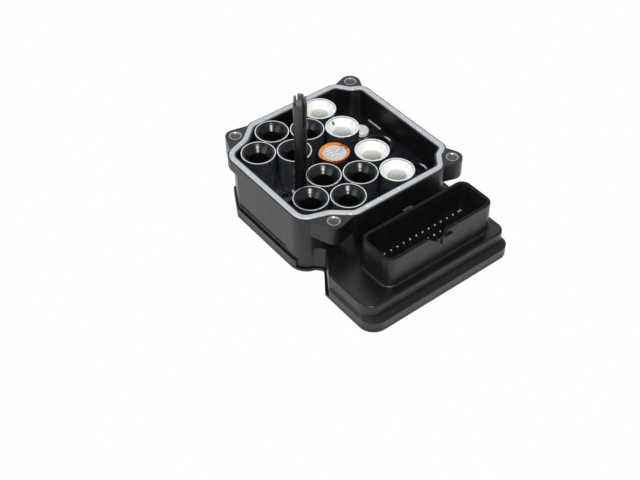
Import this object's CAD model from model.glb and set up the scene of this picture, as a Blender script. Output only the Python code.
# %% [markdown]
# # The control unit of an anti-lock brake system
#
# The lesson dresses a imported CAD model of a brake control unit: a black moulded housing whose open
# chamber holds twelve valve coils, a capacitor and a tall motor post, with a shrouded connector in
# front.  The CAD gives every rigid piece.  The lesson adds the finish of each surface, and makes
# the one piece whose looks come from a softer shape, the shrunk sleeve of the capacitor.
#
# The frame is the CAD's, in metres: the origin is the middle of the four mounting ears, +Z points
# out of the open chamber, and the connector lies towards -Y.  The patterns and the sleeve are
# written in millimetres, as such a part is drawn, and MM turns them into metres.  The floor and the
# lamps, which are far larger, stay in metres.

import bpy
import numpy as np
from mathutils import Matrix, Vector


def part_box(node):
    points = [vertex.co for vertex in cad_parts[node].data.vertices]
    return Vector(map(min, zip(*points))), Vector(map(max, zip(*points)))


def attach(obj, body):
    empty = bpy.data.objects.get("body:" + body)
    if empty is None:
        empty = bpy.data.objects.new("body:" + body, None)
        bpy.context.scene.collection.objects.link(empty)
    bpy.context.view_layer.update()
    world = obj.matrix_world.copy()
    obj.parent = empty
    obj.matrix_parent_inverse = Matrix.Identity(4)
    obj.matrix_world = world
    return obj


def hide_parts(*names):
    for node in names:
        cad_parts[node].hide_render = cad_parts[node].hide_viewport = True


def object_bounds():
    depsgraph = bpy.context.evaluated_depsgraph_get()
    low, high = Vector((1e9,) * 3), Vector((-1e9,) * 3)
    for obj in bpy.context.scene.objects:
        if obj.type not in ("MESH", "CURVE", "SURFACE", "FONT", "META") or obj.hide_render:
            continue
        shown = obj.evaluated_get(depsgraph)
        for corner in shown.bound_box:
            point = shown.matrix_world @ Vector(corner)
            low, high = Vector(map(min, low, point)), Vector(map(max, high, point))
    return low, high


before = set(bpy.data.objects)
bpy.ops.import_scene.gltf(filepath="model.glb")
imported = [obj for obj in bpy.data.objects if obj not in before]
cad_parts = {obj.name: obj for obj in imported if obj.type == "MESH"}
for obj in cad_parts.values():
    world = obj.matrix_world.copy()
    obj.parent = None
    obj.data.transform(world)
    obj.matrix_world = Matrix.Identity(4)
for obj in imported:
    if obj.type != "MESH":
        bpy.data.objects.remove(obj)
cad_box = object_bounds()
MM = 0.001
print("CAD box:", cad_box)
print("nodes:", len(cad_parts))

# %% [markdown]
# ## A small language for materials
#
# A finish is a pattern of colour, gloss and relief over a surface.  Its nodes could be wired one by
# one, but a single sum then takes a dozen lines.  So a `Field` stands for a quantity that varies
# over the surface: it wraps one socket, and arithmetic on it adds Math nodes, so that a pattern
# reads as a formula.  Two smooth steps, `rise` and `near`, turn distances into soft-edged masks.


# %% Fields
class Field:
    """One varying quantity of a material, with arithmetic."""

    def __init__(self, finish, socket):
        self.finish = finish
        self.socket = socket

    def maths(self, operation, *terms):
        node = self.finish.node("ShaderNodeMath", {"operation": operation}, dict(enumerate(terms)))
        return Field(self.finish, node.outputs[0])

    def __add__(self, other):
        return self.maths("ADD", self, other)

    def __radd__(self, other):
        return self.maths("ADD", other, self)

    def __sub__(self, other):
        return self.maths("SUBTRACT", self, other)

    def __rsub__(self, other):
        return self.maths("SUBTRACT", other, self)

    def __mul__(self, other):
        return self.maths("MULTIPLY", self, other)

    def __rmul__(self, other):
        return self.maths("MULTIPLY", other, self)

    def size(self):
        return self.maths("ABSOLUTE", self)

    def root(self):
        return self.maths("SQRT", self)

    def most(self, other):
        return self.maths("MAXIMUM", self, other)

    def wave(self):
        return self.maths("SINE", self)

    def zigzag(self, reach):
        """Climbs from 0 to the reach and falls back, over and over."""
        return self.maths("PINGPONG", self, reach)

    def turn(self, other):
        """The angle whose tangent is this over the other, from -pi to pi."""
        return self.maths("ARCTAN2", self, other)

    def rise(self, start, end):
        """0 before the start, 1 after the end, and a smooth step between them."""
        sockets = {"Value": self, "From Min": start, "From Max": end}
        node = self.finish.node("ShaderNodeMapRange", {"interpolation_type": "SMOOTHSTEP"}, sockets)
        return Field(self.finish, node.outputs[0])

    def near(self, value, reach, full):
        """0 further than the reach from a value, 1 closer than `full`, and smooth between them."""
        return (self - value).size().rise(reach, full)


def diagonal(across, along):
    """The length of the diagonal of two fields."""
    return (across * across + along * along).root()


def strongest(fields):
    """The largest of several fields, point by point."""
    result, *others = fields
    for field in others:
        result = result.most(field)
    return result


# %% [markdown]
# ## One material at a time
#
# A `Finish` is a material being made.  It holds one Principled shader, and its `node` method adds
# any other node, with its settings first and then a value or a link for each socket.  Patterns read
# Object coordinates in millimetres, so they stay at the scale of the part whatever its mesh is.
# What is the same all over a surface is set on the shader's own socket when the finish is made.


# %% Finishes
def tone(red, green, blue):
    """A colour with full alpha, from linear red, green and blue."""
    return (red, green, blue, 1.0)


class Finish:
    """A material being made: a Principled shader, and the nodes that feed it."""

    def __init__(self, name, **constants):
        self.material = bpy.data.materials.new(name)
        self.material.use_nodes = True
        self.tree = self.material.node_tree
        self.shader = self.tree.nodes["Principled BSDF"]
        for socket, value in constants.items():
            self.shader.inputs[socket.replace("_", " ")].default_value = value

    def node(self, kind, settings, sockets):
        """Adds a node with its settings, and gives each named socket a value or a link."""
        node = self.tree.nodes.new(kind)
        for name, value in settings.items():
            setattr(node, name, value)
        for name, value in sockets.items():
            self.feed(node.inputs[name], value)
        return node

    def feed(self, socket, value):
        if isinstance(value, Field):
            self.tree.links.new(value.socket, socket)
        else:
            socket.default_value = value

    def place(self):
        """The point on the surface in millimetres, as a vector."""
        where = self.node("ShaderNodeTexCoord", {}, {})
        sockets = {0: Field(self, where.outputs["Object"]), "Scale": 1 / MM}
        scaled = self.node("ShaderNodeVectorMath", {"operation": "SCALE"}, sockets)
        return Field(self, scaled.outputs[0])

    def axes(self):
        """The x, y and z of the point on the surface, in millimetres."""
        parts = self.node("ShaderNodeSeparateXYZ", {}, {0: self.place()})
        return [Field(self, output) for output in parts.outputs]

    def about(self, centre):
        """Radius and angle about an upright axis at a place in the level plane, and height."""
        x, y, z = self.axes()
        across, along = x - centre[0], y - centre[1]
        return diagonal(across, along), along.turn(across), z

    def noise(self, per_mm, detail=2.0, stretch=None):
        """Smooth noise from 0 to 1, with about so many bumps to a millimetre."""
        where = self.place()
        if stretch:
            sockets = {0: where, 1: stretch}
            scaled = self.node("ShaderNodeVectorMath", {"operation": "MULTIPLY"}, sockets)
            where = Field(self, scaled.outputs[0])
        sockets = {"Vector": where, "Scale": per_mm, "Detail": detail}
        return Field(self, self.node("ShaderNodeTexNoise", {}, sockets).outputs[0])

    def blend(self, amount, first, second):
        """A colour that turns from the first to the second as the amount goes from 0 to 1."""
        sockets = {0: amount, 6: first, 7: second}
        node = self.node("ShaderNodeMix", {"data_type": "RGBA"}, sockets)
        return Field(self, node.outputs[2])

    def color(self, value):
        """Sets the base colour, and keeps it as `tint` for a finish that builds on this one."""
        self.tint = value
        self.feed(self.shader.inputs["Base Color"], value)

    def rough(self, value):
        self.feed(self.shader.inputs["Roughness"], value)

    def metal(self, value):
        self.feed(self.shader.inputs["Metallic"], value)

    def relief(self, height):
        """Bumps the surface by a height in millimetres."""
        sockets = {"Height": height, "Distance": MM, "Strength": 1.0}
        bump = self.node("ShaderNodeBump", {}, sockets)
        self.feed(self.shader.inputs["Normal"], Field(self, bump.outputs[0]))

    def mix(self, amount, first, second):
        """A shader that turns from the first to the second as the amount goes from 0 to 1."""
        sockets = {0: amount, 1: Field(self, first.outputs[0]), 2: Field(self, second.outputs[0])}
        return self.node("ShaderNodeMixShader", {}, sockets)

    def show(self, shader):
        """Makes a shader the one that the surface shows."""
        surface = self.tree.nodes["Material Output"].inputs["Surface"]
        self.feed(surface, Field(self, shader.outputs[0]))

    def shade(self, amount):
        """Turns the surface matt black where the amount is 1, as in the depth of a narrow gap."""
        dark = self.node("ShaderNodeBsdfDiffuse", {}, {"Color": tone(0.002, 0.002, 0.002)})
        self.show(self.mix(amount, self.shader, dark))


def centre_of(name):
    """The middle of a node's box in the level plane, its radius, and its top, in millimetres."""
    low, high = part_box(name)
    middle = [(low[axis] + high[axis]) / 2 / MM for axis in (0, 1)]
    return middle, (high[0] - low[0]) / 2 / MM, high[2] / MM


def dress(finish, *names):
    """Gives a finish to the CAD nodes of these names."""
    for name in names:
        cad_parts[name].material_slots[0].material = finish.material
    print(finish.material.name, "dresses", *names)


# %% [markdown]
# ## Moulded plastic
#
# The housing and its small fittings are glass-filled nylon: nearly black, with a fine grain, a
# slight mottle where the fibres lie near the surface, a little pale dust, and an eggshell gloss
# that mirrors the floor.  One flat black would hide every edge.  So two tones of black are mixed by
# noise at two scales, and the gloss is left to bring out the form.


# %% Moulded plastic
def moulded(
    name, dark, light, roughness, dust=0.0, grain_mm=0.006, swell_mm=0.012, gloss=0.5, form=None
):
    """Moulded plastic with mottle, grain and specks of dust.

    The tint goes from dark to light by 0.7 of a slow noise and 0.3 of a fine one.  Dust is where a
    third noise nears its top.  The relief is the grain plus a slow swell, plus what the function
    `form` gives for a piece with a form of its own.
    """
    finish = Finish(name, Specular_Tint=tone(0.97, 0.95, 1.0), Specular_IOR_Level=gloss)
    mottle = finish.noise(0.12, 4.0).rise(0.35, 0.7)
    grain = finish.noise(5.0, 3.0)
    tint = finish.blend(mottle * 0.7 + grain * 0.3, dark, light)
    speck = finish.noise(2.2, 1.0).rise(0.76, 0.80) * dust
    finish.color(finish.blend(speck, tint, tone(0.5, 0.5, 0.48)))
    finish.rough(finish.noise(0.3, 3.0) * 0.14 + speck * 0.4 + (roughness - 0.07))
    relief = grain * grain_mm + finish.noise(0.8) * swell_mm
    finish.relief(relief + form(finish) if form else relief)
    return finish


# %% [markdown]
# ## Housing
#
# On the real housing a dark line runs where it meets its cover, the rim of the shroud is dull, and
# the chamber's floor has a slight blue sheen, with glints round the two empty seats.  Each could be
# cut as its own face, but they are only a change of tone.  So masks from heights and distances pick
# them out of the one plastic.

# %% Housing
JOINT_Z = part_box("housing")[0][2] / MM
CHAMBER_FLOOR_Z = -16.3
SHROUD_TOP_Z = -2.0
SHROUD_BACK_Y = -54.0
SEATS = ((26.5, 2.9), (26.5, -26.0))
SEAT_RADIUS = 7.6
SEAT_TOP_Z = -14.0
GLINT_ANGLES = (0.0, 1.9)
STREAK = (37.85, 18.8, -15.9)


def housing_plastic():
    """Plastic shaded in the joint and along the shroud's rim, and tinted on the chamber's floor.

    A seat's rim is where the radius about it is near its own, at its height, and it glints at two
    angles.  The streak is a box about a point at the foot of the right wall.
    """
    black, lighter = tone(0.0045, 0.0045, 0.0056), tone(0.0085, 0.0085, 0.0100)
    finish = moulded("housing_plastic", black, lighter, 0.34, dust=0.5)
    x, y, z = finish.axes()
    joint = z.rise(JOINT_Z + 0.55, JOINT_Z + 0.35) * (finish.noise(0.2) * 0.4 + 0.6)
    shroud_rim = z.near(SHROUD_TOP_Z, 0.15, 0.05) * y.rise(SHROUD_BACK_Y, SHROUD_BACK_Y - 1.0)
    finish.shade(joint.most(shroud_rim * 0.65))
    chamber_floor = z.near(CHAMBER_FLOOR_Z, 0.3, 0.1)
    tint = finish.blend(chamber_floor * 0.7, finish.tint, tone(0.011, 0.012, 0.016))
    for seat in SEATS:
        radius, angle, height = finish.about(seat)
        rim = radius.near(SEAT_RADIUS, 0.75, 0.35) * height.near(SEAT_TOP_Z, 0.25, 0.1)
        long_glint = angle.near(GLINT_ANGLES[0], 0.45, 0.10)
        short_glint = angle.near(GLINT_ANGLES[1], 0.35, 0.05)
        tint = finish.blend(rim * 0.5, tint, tone(0.035, 0.035, 0.055))
        glint = rim * long_glint.most(short_glint * 0.5)
        tint = finish.blend(glint, tint, tone(0.70, 0.73, 0.86))
    level = x.near(STREAK[0], 0.24, 0.10) * y.near(STREAK[1], 5.4, 5.0)
    streak = level * z.near(STREAK[2], 0.6, 0.4)
    finish.color(finish.blend(streak, tint, tone(0.80, 0.82, 0.84)))
    return finish


dress(housing_plastic(), "housing")

# %% [markdown]
# ## Base cover
#
# The cover is a plain moulded plate.  Such a plate has shallow ribs underneath against warping, and
# round marks where pins pushed it out of its tool.  They are a few tenths of a millimetre deep, so
# they are relief in the material, and not cut into the CAD plate.

# %% Base cover
RIB_HALF_PITCH = 12.0
MARK_SHIFT = 6.0
MARK_RADIUS = 2.6


def ribs_and_marks(finish):
    """A square grid of ribs and rings between them, under the cover.

    A rib is where the zigzag of x or y is near 0.  A mark is a ring where the diagonal of both
    zigzags, shifted off the ribs, is near its radius.
    """
    x, y, z = finish.axes()
    under = z.rise(JOINT_Z - 1.6, JOINT_Z - 1.8)
    ribs = strongest(axis.zigzag(RIB_HALF_PITCH).rise(0.9, 0.5) for axis in (x, y))
    shifted = [(axis + MARK_SHIFT).zigzag(RIB_HALF_PITCH) for axis in (x, y)]
    marks = diagonal(*shifted).near(MARK_RADIUS, 0.35, 0.1)
    return (ribs * 0.5 - marks * 0.3) * under


cover_tones = tone(0.005, 0.005, 0.006), tone(0.009, 0.009, 0.011)
cover = moulded("cover_plastic", *cover_tones, 0.36, dust=0.3, swell_mm=0.02, form=ribs_and_marks)
dress(cover, "base_cover")

# %% [markdown]
# ## Motor post
#
# The post stands high over the coils.  Its prongs catch the light, and its foot lies in the shade
# of the coils round it.  The lamps alone make too little of both, so the tint and the shade follow
# the height.

# %% Motor post
SHAFT_PALE_Z = (16.0, 40.0)
PRONGS_PALE_Z = (39.0, 42.5)
FOOT_SHADE_Z = (18.0, 4.0)


def post_plastic():
    """Plastic with two smooth steps in height that make it paler, and one that shades its foot."""
    black, lighter = tone(0.006, 0.007, 0.007), tone(0.012, 0.013, 0.012)
    finish = moulded("post_plastic", black, lighter, 0.3, gloss=0.35)
    height = finish.axes()[2]
    shaft = finish.blend(height.rise(*SHAFT_PALE_Z), finish.tint, tone(0.035, 0.036, 0.035))
    finish.color(finish.blend(height.rise(*PRONGS_PALE_Z), shaft, tone(0.13, 0.13, 0.125)))
    finish.shade(height.rise(*FOOT_SHADE_Z) * 0.35)
    return finish


dress(post_plastic(), "motor_post")

# %% [markdown]
# ## Sensor socket and vent cap
#
# The round socket is polished plastic, which shows as fine pale rings, with two bright spots on its
# top.  They are far too small to model, so radius and angle about its axis say where each one lies.
# The vent cap is a plain white button, of the same moulded plastic in two near whites.

# %% Sensor socket and vent cap
RING_EDGES = (5.5, 3.9, 2.3)


def socket_plastic():
    """Plastic with a pale line at each ring's edge, and two spots near an angle and a radius."""
    black, lighter = tone(0.004, 0.004, 0.005), tone(0.007, 0.007, 0.009)
    finish = moulded("socket_plastic", black, lighter, 0.2)
    middle, _, top = centre_of("sensor_socket")
    radius, angle, height = finish.about(middle)
    edges = strongest(radius.near(edge, 0.28, 0.12) for edge in RING_EDGES)
    large_spot = angle.near(-0.30, 0.34, 0.20) * radius.near(4.5, 0.75, 0.5)
    small_spot = angle.near(-1.35, 0.20, 0.10) * radius.near(5.2, 0.5, 0.3)
    spots = large_spot.most(small_spot) * height.rise(top - 0.4, top - 0.15)
    ringed = finish.blend(edges * 0.6, finish.tint, tone(0.060, 0.065, 0.085))
    finish.color(finish.blend(spots, ringed, tone(0.62, 0.63, 0.65)))
    return finish


dress(socket_plastic(), "sensor_socket")
cap_tones = tone(0.97, 0.97, 0.96), tone(1.0, 1.0, 0.99)
dress(moulded("vent_plastic", *cap_tones, 0.35, grain_mm=0.002), "vent_cap")

# %% [markdown]
# ## Rim seal
#
# The seal is pale silicone rubber, laid as a bead along the rim.  It is a little uneven, and shines
# in short dashes where it bulges.  Real bulges would need a fine mesh, so slow noise gives the tone
# and the swell, and the tops of another noise give the dashes.


# %% Rim seal
def seal_rubber():
    """Rubber between two greys by slow noise, pale where a second noise nears its top."""
    finish = Finish("seal_rubber", Specular_IOR_Level=0.6)
    dashes = finish.noise(0.45, 1.0).rise(0.68, 0.74)
    slow = finish.noise(0.25, 3.0)
    rubber = finish.blend(slow, tone(0.47, 0.51, 0.56), tone(0.62, 0.66, 0.70))
    finish.color(finish.blend(dashes, rubber, tone(0.90, 0.92, 0.94)))
    finish.rough(finish.noise(0.5) * 0.2 + 0.28)
    finish.relief(finish.noise(1.2) * 0.05)
    return finish


dress(seal_rubber(), "rim_gasket")

# %% [markdown]
# ## Bushes
#
# A steel bush is pressed into each ear.  Its end is turned bright, and its bore stays dull.  Each
# could have its own material, but the four mirror each other about the origin.  So one material
# serves, in which the sizes of x and y fold all four onto one.

# %% Bushes
BORE_RADIUS = 2.5


def bush_steel():
    """Bright steel, duller and less metallic where the radius is less than the bore's."""
    finish = Finish("bush_steel")
    (bush_x, bush_y), _, _ = centre_of("bush_4")
    x, y, _ = finish.axes()
    radius = diagonal(x.size() - bush_x, y.size() - bush_y)
    bore = radius.rise(BORE_RADIUS + 0.05, BORE_RADIUS - 0.05)
    finish.color(finish.blend(bore, tone(0.42, 0.41, 0.40), tone(0.24, 0.25, 0.26)))
    finish.metal(1.0 - bore * 0.8)
    finish.rough(finish.noise(1.5, 3.0) * 0.2 + 0.24)
    finish.relief(finish.noise(6.0) * 0.01)
    return finish


dress(bush_steel(), *(f"bush_{number}" for number in range(1, 5)))

# %% [markdown]
# ## Pins and blades
#
# The pins in the connector are tarnished, and bright only at their coined tips.  At this scale a
# tip is a dot, so a step in height places it better than a separate piece would.


# %% Pins and blades
def coined_tips(name, bright):
    """Dark metal, with a bright tone above a step close under the tips."""
    finish = Finish(name, Metallic=0.25)
    _, _, top = centre_of(name)
    coined = finish.axes()[2].rise(top - 0.8, top - 0.35)
    finish.color(finish.blend(coined, tone(0.022, 0.021, 0.020), bright))
    finish.rough(finish.noise(1.5) * 0.2 + 0.25)
    finish.relief(finish.noise(4.0) * 0.01)
    return finish


dress(coined_tips("signal_pins", tone(1.0, 0.99, 0.97)), "signal_pins")
dress(coined_tips("power_blades", tone(0.45, 0.44, 0.42)), "power_blades")

# %% [markdown]
# ## Plain metals and hidden pieces
#
# The clips, the contact in the post and the leads are plain sheet and wire, with fine scratches in
# no one direction, so one function makes them all.  The windings, the bung and the circuit board
# are hidden, and get the finish that they have on any such unit: enamelled copper, black rubber and
# green solder mask.


# %% Plain metals and hidden pieces
def bare_metal(name, color, roughness):
    """Metal whose roughness and relief are both fine noise."""
    finish = Finish(name, Base_Color=color, Metallic=1.0)
    finish.rough(finish.noise(1.5, 3.0) * 0.2 + (roughness - 0.1))
    finish.relief(finish.noise(6.0) * 0.01)
    return finish


COILS = range(1, 13)
dress(bare_metal("clip_metal", tone(0.22, 0.22, 0.22), 0.5), "sensor_clips")
dress(bare_metal("contact_metal", tone(0.88, 0.86, 0.80), 0.45), "motor_contact")
dress(bare_metal("tinned_metal", tone(0.72, 0.71, 0.68), 0.26), "coil_leads", "capacitor_leads")
copper = bare_metal("winding_copper", tone(0.65, 0.28, 0.13), 0.4)
dress(copper, *(f"coil_winding_{number}" for number in COILS))
bung_tones = tone(0.02, 0.02, 0.02), tone(0.03, 0.03, 0.03)
dress(moulded("bung_rubber", *bung_tones, 0.6), "capacitor_bung")
board_tones = tone(0.02, 0.09, 0.04), tone(0.03, 0.12, 0.06)
dress(moulded("board_mask", *board_tones, 0.4), "circuit_board")

# %% [markdown]
# ## Coil cans
#
# Each coil is a black-plated steel can round a plastic bobbin.  The plating has runs down the side,
# and has worn off the outside of the rim, which shows as a thin bright ring.  The ring could be its
# own piece, but wear has no edge, so noise breaks up a mask in radius and height.

# %% Coil cans
PALE_COILS = range(9, 13)
UPRIGHT_RUNS = (1.0, 1.0, 0.15)
UPRIGHT_DENTS = (1.0, 1.0, 0.2)


def plated_can(name, bare_mm):
    """Black plating, and bare steel on the rim over a width in from its outside.

    The side is below a step just under the top.  Bare is above that step, times a step in radius.
    """
    finish = Finish(name)
    middle, outer, top = centre_of(name)
    radius, _, height = finish.about(middle)
    side = height.rise(top - 0.12, top - 0.3)
    bare = height.rise(top - 0.3, top - 0.12) * radius.rise(outer - bare_mm, outer - bare_mm + 0.13)
    wear = finish.noise(1.1, 3.0).rise(0.22, 0.42)
    plating = finish.blend(side, tone(0.015, 0.016, 0.02), tone(0.25, 0.27, 0.32))
    finish.color(finish.blend(bare * wear, plating, tone(0.80, 0.82, 0.84)))
    runs = finish.noise(0.5, stretch=UPRIGHT_RUNS) * 0.12
    finish.rough(bare * 0.18 + side * 0.12 + runs + 0.08)
    finish.metal(1.0 - side * 0.1)
    finish.relief(finish.noise(0.6, stretch=UPRIGHT_DENTS) * 0.05)
    return finish


for number in COILS:
    can = f"coil_can_{number}"
    dress(plated_can(can, 0.9 if number in PALE_COILS else 0.55), can)

# %% [markdown]
# ## Coil bobbins
#
# Eight bobbins are of dark plastic and four of pale.  Each opens in a funnel with a flared lip,
# fine steps left by the tool, and a short slot on its right that lets the end of the wire through.
# The CAD funnel is a plain cone, so relief gives it the flare and the steps, which shape its
# highlight.

# %% Coil bobbins
FUNNEL_DEPTH = 3.4
SLOT_ANGLE = 0.12
SLOT_RADIUS = 6.75
FLECK = (8.7, 18.8)
DARK_BOBBIN = {
    "line": tone(0.004, 0.004, 0.005),
    "line_share": 0.75,
    "funnel": tone(0.008, 0.010, 0.011),
    "hole": tone(0.006, 0.007, 0.008),
    "roughness": 0.20,
}
PALE_BOBBIN = {
    "line": tone(0.10, 0.11, 0.10),
    "line_share": 0.10,
    "funnel": tone(0.97, 0.98, 0.96),
    "hole": tone(0.97, 1.0, 0.94),
    "roughness": 0.38,
}


def bobbin_plastic(name, line, line_share, funnel, hole, roughness):
    """Plastic that turns from the hole's tone to the funnel's with height, with darker lines.

    Lines lie along the outer edge and in the slot.  A dark fleck marks one pale bobbin.  The relief
    is a parabola in the height over the funnel's foot, a fine sine of the height, and the slot.
    """
    finish = Finish(name, Specular_IOR_Level=0.42, Specular_Tint=tone(0.95, 0.97, 1.0))
    middle, outer, top = centre_of(name)
    radius, angle, height = finish.about(middle)
    cloud = finish.noise(0.5, 3.0)
    tint = finish.blend(height.rise(top - 3.6, top - 2.4) * (cloud * 0.3 + 0.7), hole, funnel)
    slot = angle.near(SLOT_ANGLE, 0.14, 0.10) * radius.near(SLOT_RADIUS, 0.55, 0.35)
    edge = radius.rise(outer - 0.35, outer - 0.15)
    from_fleck, _, _ = finish.about(FLECK)
    fleck = (from_fleck + cloud * 0.8).rise(1.35, 1.0) * 0.9
    finish.color(finish.blend(((edge + slot) * line_share).most(fleck), tint, line))
    finish.rough(cloud * 0.12 + (roughness - 0.06))
    above_foot = height - (top - FUNNEL_DEPTH)
    flare = above_foot * above_foot * -0.032
    steps = (height * 6.0).wave() * 0.005 * height.rise(top - 0.2, top - 0.6)
    finish.relief(flare + steps - slot * 0.3 + finish.noise(1.5) * 0.006)
    return finish


for number in COILS:
    bobbin = f"coil_bobbin_{number}"
    kind = PALE_BOBBIN if number in PALE_COILS else DARK_BOBBIN
    dress(bobbin_plastic(bobbin, **kind), bobbin)

# %% [markdown]
# ## Capacitor can
#
# The end of the can is drawn aluminium, dull in patches, with a vent score of four short legs that
# stop short of the crimp.  A stamped score is only tenths of a millimetre deep, so it is relief and
# tone: each leg is a bar in coordinates turned to its angle, pale in its middle and darker along
# its flanks.

# %% Capacitor can
SCORE_ANGLES = (0.3, 2.2, 3.6, 5.2)
SCORE_MIDDLE = 2.6


def vented_can():
    """Aluminium with turning rings, which are a sine of the radius, and the vent score.

    Along a leg is x cos a + y sin a from the middle, and across it is y cos a - x sin a.
    """
    finish = Finish("capacitor_can")
    middle, _, _ = centre_of("capacitor_can")
    radius, _, _ = finish.about(middle)
    x, y, _ = finish.axes()
    x, y = x - middle[0], y - middle[1]
    legs = []
    for angle in SCORE_ANGLES:
        cosine, sine = float(np.cos(angle)), float(np.sin(angle))
        length = (x * cosine + y * sine).near(SCORE_MIDDLE, 2.2, 1.8)
        legs.append((y * cosine - x * sine, length))
    score = strongest(across.near(0.0, 0.52, 0.32) * length for across, length in legs)
    flanks = strongest(across.near(0.0, 0.95, 0.65) * length for across, length in legs)
    dull = finish.noise(0.28, 3.0).rise(0.42, 0.62)
    plate = finish.blend(dull, tone(0.72, 0.71, 0.72), tone(0.58, 0.57, 0.58))
    plate = finish.blend(flanks * 0.5, plate, tone(0.40, 0.40, 0.41))
    finish.color(finish.blend(score, plate, tone(1.0, 1.0, 1.0)))
    finish.metal(0.9 - score * 0.9)
    finish.rough(finish.noise(1.2, 3.0) * 0.2 + 0.30)
    rings = (radius * 14.0).wave() * 0.006
    finish.relief(rings + score * 0.1 + finish.noise(0.35) * 0.15)
    return finish


dress(vented_can(), "capacitor_can")

# %% [markdown]
# ## The shape of the capacitor's sleeve
#
# The can is wrapped in plastic film that was shrunk on with heat.  It folds over the crimp in small
# puckers, and is torn open for a short stretch.  The CAD sleeve is a plain ring.  Cloth simulation
# would be slow for so small a piece, so its profile is carried round the can, and sines of the
# angle pull its inner edge in and down.


# %% The shape of the capacitor's sleeve
BEND = 0.8
FOLD_WIDTH = 1.9
TEAR_ANGLE = 0.1


def sleeve_profile(outer, bottom, top):
    """Radii and heights, as two columns.

    They run up the side, round a quarter circle, in along the fold and back under it.
    """
    up = np.linspace(0, 1, 24)
    side = np.full_like(up, outer), bottom + up * (top - BEND - bottom)
    around = np.linspace(0.2, 1.57, 8)
    bend = outer - BEND + BEND * np.cos(around), top - BEND + BEND * np.sin(around)
    inward = np.linspace(0.1, 1.15, 8)
    fold = outer - BEND - inward, top - 0.10 * inward
    under = outer - np.array([FOLD_WIDTH, 0.9]), top - np.array([0.32, 0.4])
    return np.concatenate([side, bend, fold, under], axis=1)[..., None]


def sleeve_points():
    """The profile round the can.

    The share grows from 0 at the side to 1 at the inner edge of the fold.  The pucker is a sine of
    31 times the angle, with a drift, times a slow sine, plus a finer one.  Share times pucker moves
    the film in and down.  The tear, a bell curve in the angle, pulls it back out and down.
    """
    middle, outer, top = centre_of("capacitor_sleeve")
    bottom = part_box("capacitor_sleeve")[0][2] / MM
    angle = np.linspace(0, 2 * np.pi, 360, endpoint=False)
    radius, height = sleeve_profile(outer, bottom, top)
    share = np.clip((outer - radius) / FOLD_WIDTH, 0, 1)
    pucker = np.sin(31 * angle + 2 * np.sin(3 * angle)) * 0.5 + 0.5
    pucker = pucker * (0.6 + 0.4 * np.sin(5 * angle + 1.0)) + 0.3 * (np.sin(53 * angle) * 0.5 + 0.5)
    tear = np.exp(-(((angle - TEAR_ANGLE) / 0.16) ** 2))
    waves = 0.10 * np.sin(4 * angle + 0.5) * np.clip(height - bottom, 0, 3) / 3
    pulled = np.minimum(radius - 0.28 * share * pucker + 1.1 * share**3 * tear, outer - 0.02)
    radius = pulled - 0.12 - waves
    height = height - 0.22 * share * pucker - 0.35 * share**2 * tear
    return np.stack(
        [middle[0] + radius * np.cos(angle), middle[1] + radius * np.sin(angle), height], axis=-1
    )


def grid_piece(name, points, finish):
    """A piece from a grid of points: rows along the profile, and columns that close round it."""
    rows, columns = points.shape[:2]
    corner = np.arange(rows * columns).reshape(rows, columns)
    beside = np.roll(corner, -1, axis=1)
    quads = np.stack([corner[:-1], beside[:-1], beside[1:], corner[1:]], axis=-1).reshape(-1, 4)
    mesh = bpy.data.meshes.new(name)
    mesh.from_pydata((points.reshape(-1, 3) * MM).tolist(), [], quads.tolist())
    mesh.shade_smooth()
    mesh.materials.append(finish.material)
    piece = bpy.data.objects.new(name, mesh)
    bpy.context.scene.collection.objects.link(piece)
    print(name, len(mesh.polygons), "faces")
    return piece


# %% [markdown]
# ## The film of the capacitor's sleeve
#
# The film is orange.  Away from the tear it is crinkled, with scorched dots and small glints
# between them, and the torn edge is dark.  Low on the can, and on the side turned from the light,
# it looks deep brown.  Painted dots would need an image, so noise with steep steps makes them.


# %% The film of the capacitor's sleeve
def sleeve_film():
    """Orange by noise, then dots, glints and the torn edge as masks of noise and angle.

    Lit is above a step under the top, and within a circle that is set aside from the axis.
    """
    finish = Finish("sleeve_film", Coat_Weight=0.15, Coat_Roughness=0.08, Specular_IOR_Level=0.2)
    (middle_x, middle_y), _, top = centre_of("capacitor_sleeve")
    _, angle, height = finish.about((middle_x, middle_y))
    crease = finish.noise(1.6, 3.0).rise(0.42, 0.60)
    orange = finish.blend(crease, tone(1.0, 0.22, 0.004), tone(1.0, 0.42, 0.022))
    crinkled = angle.size().rise(1.7, 2.4)
    scorched = finish.noise(2.4).rise(0.52, 0.60) * crinkled
    orange = finish.blend(scorched * 0.8, orange, tone(0.22, 0.030, 0.006))
    glint = finish.noise(2.9, 1.0).rise(0.58, 0.64) * crinkled * height.near(top - 0.7, 0.9, 0.6)
    orange = finish.blend(glint * 0.9, orange, tone(1.0, 0.90, 0.66))
    torn = finish.noise(2.0).rise(0.44, 0.52) * angle.near(TEAR_ANGLE + 0.03, 0.45, 0.30)
    orange = finish.blend(torn, orange, tone(0.06, 0.014, 0.006))
    aside, _, _ = finish.about((middle_x + 0.24, middle_y + 1.18))
    lit = height.rise(top - 1.6, top - 0.7) * aside.rise(8.6, 8.2)
    finish.color(finish.blend(lit, tone(0.035, 0.010, 0.005), orange))
    finish.rough(finish.noise(2.0) * 0.25 + 0.14)
    finish.relief(finish.noise(1.7, 3.0) * 0.30)
    return finish


sleeve = grid_piece("capacitor_sleeve_film", sleeve_points(), sleeve_film())
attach(sleeve, "root")
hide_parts("capacitor_sleeve")

# %% [markdown]
# ## Floor
#
# The part stands on plain pale paper.  It looks white to the camera and in reflections, so upright
# faces mirror it and stay lighter than level ones, and it still takes the part's shadow.  A white
# lamp could do that too, but it would light the part as well.  From below the paper is clear, so
# that the underside can be looked at.

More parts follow.
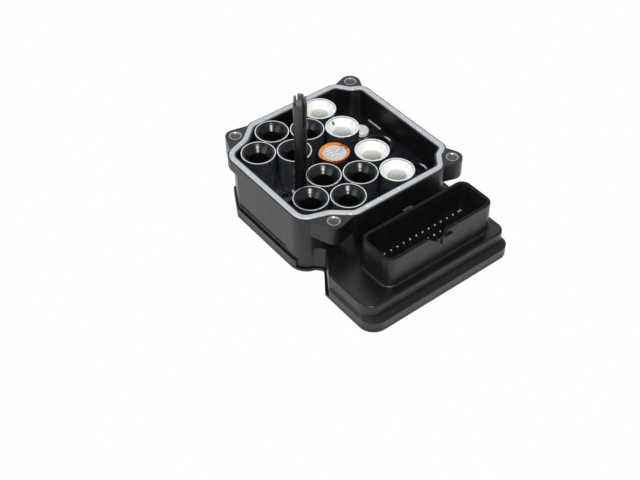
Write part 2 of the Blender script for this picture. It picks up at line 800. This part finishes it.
# %% Floor
FLOOR_GAP = 0.2 * MM
FLOOR_HALF = 3.0
floor_z = cad_box[0][2] - FLOOR_GAP
signs = ((-1, -1), (1, -1), (1, 1), (-1, 1))
corners = [(x * FLOOR_HALF, y * FLOOR_HALF, floor_z) for x, y in signs]
floor_mesh = bpy.data.meshes.new("floor")
floor_mesh.from_pydata(corners, [], [(0, 1, 2, 3)])
floor = bpy.data.objects.new("floor", floor_mesh)
bpy.context.scene.collection.objects.link(floor)


def floor_paper():
    """Pale paper, white light to rays from the camera and from gloss, and clear from behind."""
    finish = Finish("floor_paper", Base_Color=tone(0.9, 0.9, 0.9), Roughness=0.8)
    rays = finish.node("ShaderNodeLightPath", {}, {})
    kinds = ("Is Camera Ray", "Is Glossy Ray", "Is Transmission Ray")
    seen = strongest(Field(finish, rays.outputs[kind]) for kind in kinds)
    white = finish.node("ShaderNodeEmission", {}, {"Color": tone(1, 1, 1), "Strength": 1.0})
    front = finish.mix(seen, finish.shader, white)
    sides = finish.node("ShaderNodeNewGeometry", {}, {})
    clear = finish.node("ShaderNodeBsdfTransparent", {}, {})
    finish.show(finish.mix(Field(finish, sides.outputs["Backfacing"]), front, clear))
    return finish


floor_mesh.materials.append(floor_paper().material)
print("floor at", floor_z)

# %% [markdown]
# ## Lights
#
# Three soft lamps and a pale world give plain studio light.  The key lamp stands near the camera,
# and is small enough to put one narrow highlight on the far side of every funnel.  The other two
# are large and weak, and only open up the shadows on the left and behind.


# %% Lights
def soft_light(name, place, aim, size, watts):
    """A square area light of a size, at a place, aimed at a point."""
    data = bpy.data.lights.new(name, "AREA")
    data.shape = "SQUARE"
    data.size = size
    data.energy = watts
    light = bpy.data.objects.new(name, data)
    bpy.context.scene.collection.objects.link(light)
    facing = (Vector(aim) - Vector(place)).to_track_quat("-Z", "Y").to_matrix().to_4x4()
    light.matrix_world = Matrix.Translation(place) @ facing
    print(name, "lamp", watts, "W")


soft_light("key", (-0.34, -0.54, 0.62), (0, -0.01, 0), 0.20, 4.4)
soft_light("left", (-0.75, 0.05, 0.30), (0, 0, -0.01), 0.5, 1.6)
soft_light("back", (0.45, 0.60, 0.70), (0, 0, 0), 0.7, 1.2)

world = bpy.data.worlds.new("studio")
bpy.context.scene.world = world
world.use_nodes = True
background = world.node_tree.nodes["Background"]
background.inputs["Color"].default_value = tone(1, 1, 1)
background.inputs["Strength"].default_value = 0.38
print("world strength", round(background.inputs["Strength"].default_value, 2))

# %% [markdown]
# ## Camera
#
# The camera looks down from the front left, from about 0.6 m, through a 62 mm lens, which fills the
# frame with the part and stretches its near corner only a little.  It could be aimed at a point
# with a constraint, but angles leave nothing live: its direction is a unit vector whose level part
# points along the azimuth, and whose height is the sine of the elevation.

# %% Camera
eye = Vector((-280.1, -340.8, 362.8)) * MM
azimuth, elevation, roll = np.radians((37.88, -44.31, -0.19))
level_part = np.cos(elevation)
look = Vector((level_part * np.sin(azimuth), level_part * np.cos(azimuth), np.sin(elevation)))
turn = look.to_track_quat("-Z", "Y").to_matrix().to_4x4() @ Matrix.Rotation(roll, 4, "Z")
camera_data = bpy.data.cameras.new("camera")
camera_data.sensor_width = 36.0
camera_data.lens = 62.02
camera = bpy.data.objects.new("camera", camera_data)
camera.matrix_world = Matrix.Translation(eye) @ turn
bpy.context.scene.collection.objects.link(camera)
bpy.context.scene.camera = camera
bpy.context.scene.view_settings.view_transform = "Standard"
print("camera at", tuple(round(value, 4) for value in eye))
